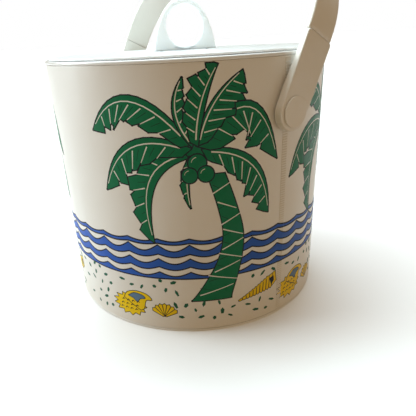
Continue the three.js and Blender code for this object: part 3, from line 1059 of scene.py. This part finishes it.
def repeat_round(tree, given, single):
    """Copies of some geometry, one scene apart. A first turn below zero counts as zero."""
    stops = node(tree, "GeometryNodeMeshLine")
    stops.inputs["Offset"].default_value = (0, 0, 0)
    wire(tree, (given, "Scenes"), (stops, "Count"))
    index = node(tree, "GeometryNodeInputIndex")
    pitch = math.radians(SCENE_END - SCENE_START)
    stepped = maths(tree, "MULTIPLY_ADD", (index, 0), pitch, (given, "First turn"))
    rotation = node(tree, "ShaderNodeCombineXYZ")
    wire(tree, maths(tree, "MAXIMUM", stepped, 0.0), (rotation, "Z"))
    return set_copies(tree, (stops, 0), single, Rotation=(rotation, 0))

# %% Print the flecks
FLECK_DENSITY = 60000.0
FLECK_SPACING = 0.0066
FLECK_RADIUS = 0.0017
FLECK_SEED = 7
fleck_ink = ink_finish("ink_fleck", (0.012, 0.105, 0.060), (0.36, 0.55))
FLECK_RUNS = (("near", NEAR_SAND, 4, -24), ("far", FAR_SAND, 3, 72))
for part, areas, scenes, first_turn in FLECK_RUNS:
    flecks = run_tree("print_flecks_" + part, fleck_tree(fleck_ink), clear_sand(areas), {
        "Density": FLECK_DENSITY, "Spacing": FLECK_SPACING, "Fleck radius": FLECK_RADIUS,
        "Jacket radius": JACKET_RADIUS * MM, "Seed": FLECK_SEED, "Scenes": scenes,
        "First turn": math.radians(first_turn)})
    fit(flecks, fleck_ink, "bucket", ["printed_wrap"], 30)

# %% [markdown]
# ## Lap seam
# The vinyl's two ends overlap under one pivot, and a narrow welded strip covers the lap. Welding
# leaves a ladder of fine ribs across it, which the thick ink of the sea fills. The strip is a slim
# band bent to the jacket, a little dingy where dust sits between the ribs. The ribs are one small
# bar repeated by a node tree, below and above the sea.

# %% Bend the seam strip
SEAM_FOOT = 2.6
SEAM_TOP = 178.9
SEAM_SUNK = 0.15


def seam_strip():
    """A thin band at angle 0, rounded along both sides."""
    angles = [SEAM_HALF * (step / 8 - 1) / JACKET_RADIUS for step in range(17)]
    rings = []
    for height, full in ((SEAM_FOOT, 0), (SEAM_FOOT + 0.3, 1), (SEAM_TOP - 0.3, 1), (SEAM_TOP, 0)):
        section = [(a, JACKET_RADIUS + full * seam_lift(math.degrees(a))) for a in angles]
        section += [(a, JACKET_RADIUS - SEAM_SUNK) for a in reversed(angles)]
        rings.append([Vector((r * math.cos(a), r * math.sin(a), height)) for a, r in section])
    return lofted("seam_strip", rings, ends_meet=False)


seam_vinyl = plastic("seam_vinyl", (0.75, 0.72, 0.65), (0.68, 0.65, 0.58), (0.45, 0.60), 700, 0.00006)
fit(seam_strip(), seam_vinyl, "bucket", ["printed_wrap"])

# %% [markdown]
# The welding tool left a ladder of ribs on the strip. One bar, a line of points and a pitch describe
# the whole ladder, so changing the pitch changes every rib at once.

# %% Repeat the weld ribs up the seam
RIB_PITCH = 1.6
RIB_LENGTH = 4.2
RIB_RADIUS = 0.42
RIB_FLATNESS = (0.5, 1.0, 1.0)
RIB_COLUMNS = (("low", 4.0, 42.5), ("high", 75.5, 178.0))


def rib_tree(finish):
    """A column of small flattened bars."""
    tree, given, result = new_tree("weld_ribs", [
        ("Count", "NodeSocketInt"), ("Pitch", "NodeSocketFloat"), ("Length", "NodeSocketFloat"),
        ("Radius", "NodeSocketFloat"), ("Flatness", "NodeSocketVector"), ("Foot", "NodeSocketVector")])
    step = node(tree, "ShaderNodeCombineXYZ")
    wire(tree, (given, "Pitch"), (step, "Z"))
    stops = node(tree, "GeometryNodeMeshLine")
    wire(tree, (given, "Count"), (stops, "Count"))
    wire(tree, (given, "Foot"), (stops, "Start Location"))
    wire(tree, (step, 0), (stops, "Offset"))
    bar = node(tree, "GeometryNodeMeshCylinder", Vertices=10)
    wire(tree, (given, "Radius"), (bar, "Radius"))
    wire(tree, (given, "Length"), (bar, "Depth"))
    laid = node(tree, "GeometryNodeTransform")
    laid.inputs["Rotation"].default_value = (math.radians(90), 0, 0)
    wire(tree, (bar, "Mesh"), (laid, "Geometry"))
    column = set_copies(tree, (stops, 0), (laid, 0), Scale=(given, "Flatness"))
    end_tree(tree, column, result, finish)
    return tree


for part, low, high in RIB_COLUMNS:
    rib_base = new_piece("rib_base", [(0, 0, 0)], [])
    ribs = run_tree("seam_ribs_" + part, rib_tree(jacket_vinyl), rib_base, {
        "Count": int((high - low) / RIB_PITCH), "Pitch": RIB_PITCH * MM, "Length": RIB_LENGTH * MM,
        "Radius": RIB_RADIUS * MM, "Flatness": RIB_FLATNESS,
        "Foot": ((JACKET_RADIUS + SEAM_THICK) * MM, 0.0, low * MM)})
    fit(ribs, jacket_vinyl, "bucket", ["printed_wrap"])

# %% [markdown]
# ## Rim bead
# A glossy bead covers the joint between jacket and liner, and its round outer edge carries the long
# bright highlight round the top of the bucket. Only a properly round edge gives that line.

# %% Turn the rim bead
bead_gloss = plastic("bead_gloss", (0.86, 0.87, 0.87), (0.82, 0.83, 0.83), (0.10, 0.20), 400, 0.00002,
                     coat=0.5)
bead = spun("rim_bead", rounded([
    (94.0, 179.7, 0.4), (102.3, 179.7, 0.7), (102.3, 182.0, 1.2), (94.0, 182.0, 0.5),
], steps=7))
fit(bead, bead_gloss, "bucket", ["rim_ring"], 40)

# %% [markdown]
# ## Ice liner
# Inside is one smooth moulded cup that tapers a little so that it leaves its mould, with a wide
# rounded corner that is easy to wipe. It is turned from its real section, so lifting the lid shows
# a real wall and not a painted hole.

# %% Turn the liner
liner_white = plastic("liner_white", (0.84, 0.85, 0.84), (0.80, 0.81, 0.80), (0.20, 0.34), 700, 0.00004,
                      coat=0.2)
liner = spun("ice_cup", rounded([
    (0, 12.0), (85.0, 12.0, 10), (89.8, 177.8, 0.6), (100.5, 177.8, 0.3),
    (100.5, 179.4, 0.4), (87.8, 179.4, 0.9), (83.0, 14.0, 8), (0, 14.0),
], steps=8))
fit(liner, liner_white, "bucket", ["ice_liner"])

# %% [markdown]
# ## Lid
# The lid is a flat disc on top and a shallow cup below that plugs the mouth. The disc's edge is
# eased, so it shows as a thin pale line over the bead. Both parts are turned.

# %% Turn the lid disc and the plug
lid_white = plastic("lid_white", (0.86, 0.88, 0.89), (0.845, 0.865, 0.875), (0.30, 0.36), 800, 0.00004,
                    coat=0.15, milky=0.6)
disc = spun("lid_disc", rounded([
    (0, 182.3), (100.0, 182.3, 0.35), (100.0, 183.7, 0.6), (0, 183.7),
], steps=6))
fit(disc, lid_white, "lid", ["lid_plate"], 40)
plug = spun("lid_cup", rounded([
    (0, 170.0), (86.0, 170.0, 2.2), (86.8, 180.2, 0.5), (93.4, 180.2, 0.4), (93.4, 182.0, 0.4),
    (85.3, 182.0, 0.4), (84.5, 171.5, 1.0), (0, 171.5),
]))
fit(plug, lid_white, "lid", ["lid_plug"])

# %% [markdown]
# ## Plates with a hole
# The knob and the two side arms are flat mouldings: an outline, a round hole, and eased edges. Each
# is a ring of sections from the hole out to the outline and back, so the hole's edge and the outer
# edge can both be truly round. A bevel on a copied shape could do it too, but it breaks where the
# easing is wider than the little facets of a curve.

# %% Build a plate round its hole
def inset(outline, distance):
    """An anticlockwise closed outline moved inwards by a distance."""
    moved = []
    for index, here in enumerate(outline):
        incoming = (here - outline[index - 1]).normalized()
        outgoing = (outline[(index + 1) % len(outline)] - here).normalized()
        inward = Vector((-incoming.y, incoming.x))
        other = Vector((-outgoing.y, outgoing.x))
        between = (inward + other).normalized()
        moved.append(here + between * distance / max(between.dot(inward), 0.5))
    return moved


def eased(kind, edge, easing, level, face, steps=5):
    """Rings of a rounded edge from a side wall onto a face: a rim moves in, a bore grows wider."""
    rings = []
    for step in range(steps + 1):
        angle = math.pi / 2 * step / steps
        off = easing * (1 - math.cos(angle))
        rings.append((kind, edge + off, level + (face - level) * math.sin(angle)))
    rings.append((kind, edge + easing + SUPPORT, face))
    return rings


def plate(name, outline, centre, section, to_space):
    """A closed plate round a hole. Each section ring is ("rim" or "bore", distance, level)."""
    rings = []
    for kind, distance, level in section:
        if kind == "rim":
            ring = inset(outline, distance)
        else:
            ring = [centre + (p - centre).normalized() * distance for p in outline]
        rings.append([to_space(p, level) for p in ring])
    return lofted(name, rings)

# %% [markdown]
# ## Knob
# The lid lifts by a flat finger loop: a rounded arch with a round hole, standing a little askew
# because the lid was put on that way. Its edges are rounded generously, which makes the bright ring
# inside the hole.

# %% Shape the knob
KNOB_FOOT = 184.0
KNOB_HALF_FOOT = 24.5
KNOB_RISE = 34.4
KNOB_HALF_THICK = 3.25
KNOB_EASING = 1.5
KNOB_TURN = math.radians(71)
HOLE_RADIUS = 14.2
HOLE_CENTRE = Vector((0, 200.0))
CORNER_ROOM = 2.4


def knob_outline():
    """Foot from left to right, then up the right side, over the top and down the left side."""
    stops = [Vector((KNOB_HALF_FOOT, 0)), Vector((21.5, 17)), Vector((14.5, KNOB_RISE)),
             Vector((0, KNOB_RISE))]
    side = []
    for step in range(1, 49):
        t = step / 48
        side.append(stops[0] * (1 - t) ** 3 + stops[1] * 3 * t * (1 - t) ** 2
                    + stops[2] * 3 * t * t * (1 - t) + stops[3] * t ** 3)
    foot = [Vector((KNOB_HALF_FOOT * (step / 8 - 1), 0)) for step in range(17)]
    side = [p for p in side if (p - stops[0]).length > CORNER_ROOM]
    mirrored = [Vector((-p.x, p.y)) for p in reversed(side[:-1])]
    return [p + Vector((0, KNOB_FOOT)) for p in foot + side + mirrored]


def knob_space(flat, level):
    """From the knob's own drawing to the model: across turns about the upright axis."""
    broad = Vector((math.cos(KNOB_TURN), math.sin(KNOB_TURN), 0))
    facing = Vector((broad.y, -broad.x, 0))
    return broad * flat.x + facing * level + Vector((0, 0, flat.y))


def knob_side(side):
    """Rings over one broad side, 1 or -1, from the hole's edge out to the rim's."""
    wall = side * (KNOB_HALF_THICK - KNOB_EASING)
    face = side * KNOB_HALF_THICK
    hole_edge = eased("bore", HOLE_RADIUS, KNOB_EASING, wall, face)
    outer_edge = eased("rim", 0, KNOB_EASING, wall, face)
    return hole_edge + outer_edge[::-1]


knob_section = knob_side(1) + knob_side(-1)[::-1]
knob = plate("finger_loop", knob_outline(), HOLE_CENTRE, knob_section, knob_space)
fit(knob, lid_white, "lid", ["lid_knob"], 40)

# %% [markdown]
# ## Handle
# The handle is a flat strap bent into a squared arch between two straight side arms. It leans back
# on its pivots. The strap is a rounded rectangle carried along the arch, and it is set a little
# further in than the arms, which leaves the small ledge across each joint. The plastic is a warmer
# white than the lid, and satin.

# %% Lay out the handle's arch
handle_white = plastic("handle_white", (0.84, 0.81, 0.76), (0.79, 0.76, 0.70), (0.30, 0.44), 600, 0.00007,
                       coat=0.08)
STRAP_HALF_WIDTH = 11.4
STRAP_EASING = 1.2
STRAP_FOOT = 45.8
STRAP_RISE = 74.2
STRAP_SPAN = 108.3
STRAP_THICK = 3.4
CROWN_EXTRA = 1.0
STRAP_PITCH = 2.4
FOOT_INSET = 0.35
FOOT_EASING = 0.9
FOOT_LIFT = 0.4
SQUARENESS = 2 / 2.3


def handle_space(x, across, along):
    """From the handle's own axes to the model: along runs up from the pivots, then leans."""
    y = along * math.sin(HANDLE_LEAN) + across * math.cos(HANDLE_LEAN)
    z = PIVOT_HEIGHT + along * math.cos(HANDLE_LEAN) - across * math.sin(HANDLE_LEAN)
    return Vector((x, y, z))


def strap_line(share):
    """The strap's outer line as (across the bucket, up the handle); share runs 0 to 1."""
    turn = math.pi * share
    across = math.copysign(abs(math.cos(turn)) ** SQUARENESS, math.cos(turn))
    return Vector((STRAP_SPAN * across, STRAP_FOOT + STRAP_RISE * max(0.0, math.sin(turn)) ** SQUARENESS))


def evenly(line, pitch):
    """The same open line with its stops evenly spaced."""
    lengths = [0.0]
    for start, end in zip(line, line[1:]):
        lengths.append(lengths[-1] + (end - start).length)
    count = round(lengths[-1] / pitch)
    stops = []
    index = 0
    for step in range(count + 1):
        wanted = lengths[-1] * step / count
        while index < len(line) - 2 and lengths[index + 1] < wanted:
            index += 1
        share = (wanted - lengths[index]) / (lengths[index + 1] - lengths[index])
        stops.append(line[index].lerp(line[index + 1], min(1, share)))
    return stops

# %% [markdown]
# A curve object with a bevel could carry the section along too, but it gives no say over the ends.
# Here each foot gets one more ring, a little smaller, which eases the edge where strap meets arm.

# %% Bend the strap
def strap_ring(stop, outward, thick, easing, smaller=0.0):
    """The rounded section at one stop of the outer line, drawn in all round by `smaller`."""
    half = STRAP_HALF_WIDTH - smaller
    deep = thick - smaller
    section = rounded([(-half, smaller, easing), (half, smaller, easing),
                       (half, deep, easing), (-half, deep, easing)], 4)
    flat = [(stop - outward * depth, side) for side, depth in section]
    return [handle_space(point.x, side, point.y) for point, side in flat]


def strap():
    """The section carried along the arch, with both feet eased."""
    line = evenly([strap_line(s / 1200) for s in range(1201)], STRAP_PITCH)
    last = len(line) - 1
    up = Vector((0, 1))
    rings = []
    for index, stop in enumerate(line):
        thick = STRAP_THICK + CROWN_EXTRA * math.sin(math.pi * index / last)
        if 0 < index < last:
            along = (line[index + 1] - line[index - 1]).normalized()
            rings.append(strap_ring(stop, Vector((along.y, -along.x)), thick, STRAP_EASING))
            continue
        outward = Vector((1 if index == 0 else -1, 0))
        foot = [strap_ring(stop, outward, thick, FOOT_EASING, FOOT_INSET),
                strap_ring(stop + up * FOOT_LIFT, outward, thick, STRAP_EASING)]
        rings += foot if index == 0 else foot[::-1]
    return lofted("handle_strap", rings, ends_meet=False)


fit(strap(), handle_white, "bail", ["bail_grip"], 50)

# %% [markdown]
# ## Side arms
# Each arm is a flat bar with a round end about its pivot, a boss inside that keeps it off the jacket,
# and a shallow recess outside for the cap. It is the plate function again, with more rings.

# %% Shape the two arms
ARM_HALF = 11.6
ARM_LENGTH = 45.5
PIN_BORE = 3.3
CAP_SEAT = 7.6
BOSS_RADIUS = 11.1
ARM_INNER = 105.0
ARM_OUTER = 109.0
INNER_RINGS = (104, 105.4)
THICKENING = 1.5
THICKENING_START = 36
THICKENING_RUN = 26
SIDES = (("right", 1), ("left", -1))


def arm_outline():
    """Anticlockwise: up the right side, over the top, down the left side and round the end."""
    side = [Vector((ARM_HALF, 1.9 * step)) for step in range(24)]
    end = [(ARM_HALF, 40), (ARM_HALF, ARM_LENGTH, 1.5), (-ARM_HALF, ARM_LENGTH, 1.5), (-ARM_HALF, 40)]
    top = rounded(end, 3)
    right_corner = top[2:6]
    left_corner = top[8:12]
    between = [right_corner[-1].lerp(left_corner[0], step / 14) for step in range(1, 14)]
    other_side = [Vector((-p.x, p.y)) for p in reversed(side)]
    round_end = []
    for step in range(1, 48):
        angle = math.pi + math.pi * step / 48
        round_end.append(Vector((ARM_HALF * math.cos(angle), ARM_HALF * math.sin(angle))))
    return side + right_corner + between + left_corner + other_side + round_end


ARM_OUTLINE = arm_outline()
ARM_SECTION = [("bore", PIN_BORE, 106.2), ("bore", CAP_SEAT, 106.2), ("bore", CAP_SEAT, 108.8)]
ARM_SECTION += [("bore", 7.8, ARM_OUTER), ("bore", 8.2, ARM_OUTER)]
ARM_SECTION += eased("rim", 0, 0.9, 108.1, ARM_OUTER)[::-1]
ARM_SECTION += eased("rim", 0, 0.35, 105.35, ARM_INNER, 3)[:-1]
ARM_SECTION += [("bore", BOSS_RADIUS, ARM_INNER), ("bore", BOSS_RADIUS, 103.4)]
ARM_SECTION += [("bore", 10.7, 103.0), ("bore", PIN_BORE, 103.0)]


def arm_space(flat, level, mirror):
    """From the arm's drawing to the model. The inner side thickens gently towards the pivot."""
    share = min(1, max(0, (THICKENING_START - flat.y) / THICKENING_RUN))
    if INNER_RINGS[0] < level < INNER_RINGS[1]:
        level -= THICKENING * share
    return handle_space(mirror * level, flat.x, flat.y)


for side_name, mirror in SIDES:
    arm = plate("arm_" + side_name, ARM_OUTLINE, Vector((0, 0)), ARM_SECTION,
                lambda flat, level: arm_space(flat, level, mirror))
    fit(arm, handle_white, "bail", ["bail_arm_" + side_name], 38)

# %% [markdown]
# ## Pivot caps
# A shallow disc snaps into each arm and hides the pin's head. Its edge is well rounded, so it shows
# only as a faint circle when light rakes across the arm.

# %% Turn the caps
CAP_OUTLINE = rounded([
    (0, 109.3), (6.6, 109.3), (6.6, 107.3, 0.1), (7.3, 107.3, 0.2), (7.3, 109.3), (9.5, 109.3, 0.2),
    (9.5, 110.4, 0.8), (0, 110.4),
])
for side_name, mirror in SIDES:
    cap = spun("cap_" + side_name, CAP_OUTLINE, 96,
               lambda p: handle_space(mirror * p.z, p.x, p.y))
    fit(cap, handle_white, "bail", ["pivot_cap_" + side_name], 45)

# %% [markdown]
# ## Hidden parts
# The shell, the foam and the metal fasteners keep their engineering shapes, which are already right.
# They still get real finishes, because they show when the model is taken apart: beaded foam, and
# steel with the fine rings that turning leaves.

# %% Mix foam and steel
def foam_finish():
    """White beaded foam: each bead slightly different, with a dent between beads and painted shade that
    darkens each bead towards it.
    """
    finish, tree, shader, place = blank_finish("bead_foam")
    beads = tree.nodes.new("ShaderNodeTexVoronoi")
    beads.inputs["Scale"].default_value = 330
    link(tree, place, "Object", beads, "Vector")
    # Painted shade: the colour darkens from each bead's middle towards the dent round it.
    dent_shade = spread(tree, beads, "Distance", 0, 1, 0.2, 0.75)
    tints = blend(tree, (0.90, 0.90, 0.88), (0.74, 0.74, 0.71), dent_shade)
    tree.links.new(tints, shader.inputs["Base Color"])
    link(tree, spread(tree, noise(tree, place, 300), "Fac", 0.7, 0.9), "Result", shader, "Roughness")
    grain(tree, shader, spread(tree, beads, "Distance", 1, 0, 0.1, 0.8), "Result", 0.0005)
    return finish


def steel_finish():
    """Plain zinc-plated steel with fine turning marks and a clouded polish."""
    finish, tree, shader, place = blank_finish("plain_steel")
    cloud = spread(tree, noise(tree, place, 160, 4), "Fac", 0, 1)
    tints = blend(tree, (0.62, 0.63, 0.64), (0.48, 0.48, 0.47), cloud)
    tree.links.new(tints, shader.inputs["Base Color"])
    shader.inputs["Metallic"].default_value = 1.0
    link(tree, spread(tree, noise(tree, place, 250, 4), "Fac", 0.25, 0.45), "Result", shader, "Roughness")
    grain(tree, shader, noise(tree, place, 900, 2, (1, 1, 3)), "Fac", 0.00005)
    return finish


foam = foam_finish()
steel = steel_finish()
HIDDEN = {
    "outer_shell": tub_white, "wall_insulation": foam, "base_insulation": foam, "lid_insulation": foam,
    "pivot_pin_right": steel, "pivot_pin_left": steel, "pivot_nut_right": steel, "pivot_nut_left": steel,
    "knob_screw_1": steel, "knob_screw_2": steel,
}
for node_name, finish in HIDDEN.items():
    for material_slot in nodes[node_name].material_slots:
        material_slot.material = finish
print("finishes on", len(HIDDEN), "hidden parts")

# %% [markdown]
# ## Floor
# A plain pale tabletop, far wider than the view, catches the soft shadow. It is stage, not object.
# It is kept from throwing white light back up, which would wash the warm shade off the tub.

# %% Lay the floor
def floor_finish():
    """Pale matt card with a barely visible tooth."""
    finish, tree, shader, place = blank_finish("pale_card")
    shader.inputs["Base Color"].default_value = (0.93, 0.93, 0.93, 1)
    link(tree, spread(tree, noise(tree, place, 40), "Fac", 0.75, 0.9), "Result", shader, "Roughness")
    grain(tree, shader, noise(tree, place, 800, 2), "Fac", 0.00004)
    return finish


floor = spun("floor", [(0, -1), (40000, -1), (40000, -0.05), (0, -0.05)], 96)
floor.data.materials.append(floor_finish())
floor.visible_diffuse = False

# %% [markdown]
# ## Finish
# The looks are built round the engineering sizes. Last, the scene is brought up to date.

# %% Bring the scene up to date
bpy.context.view_layer.update()
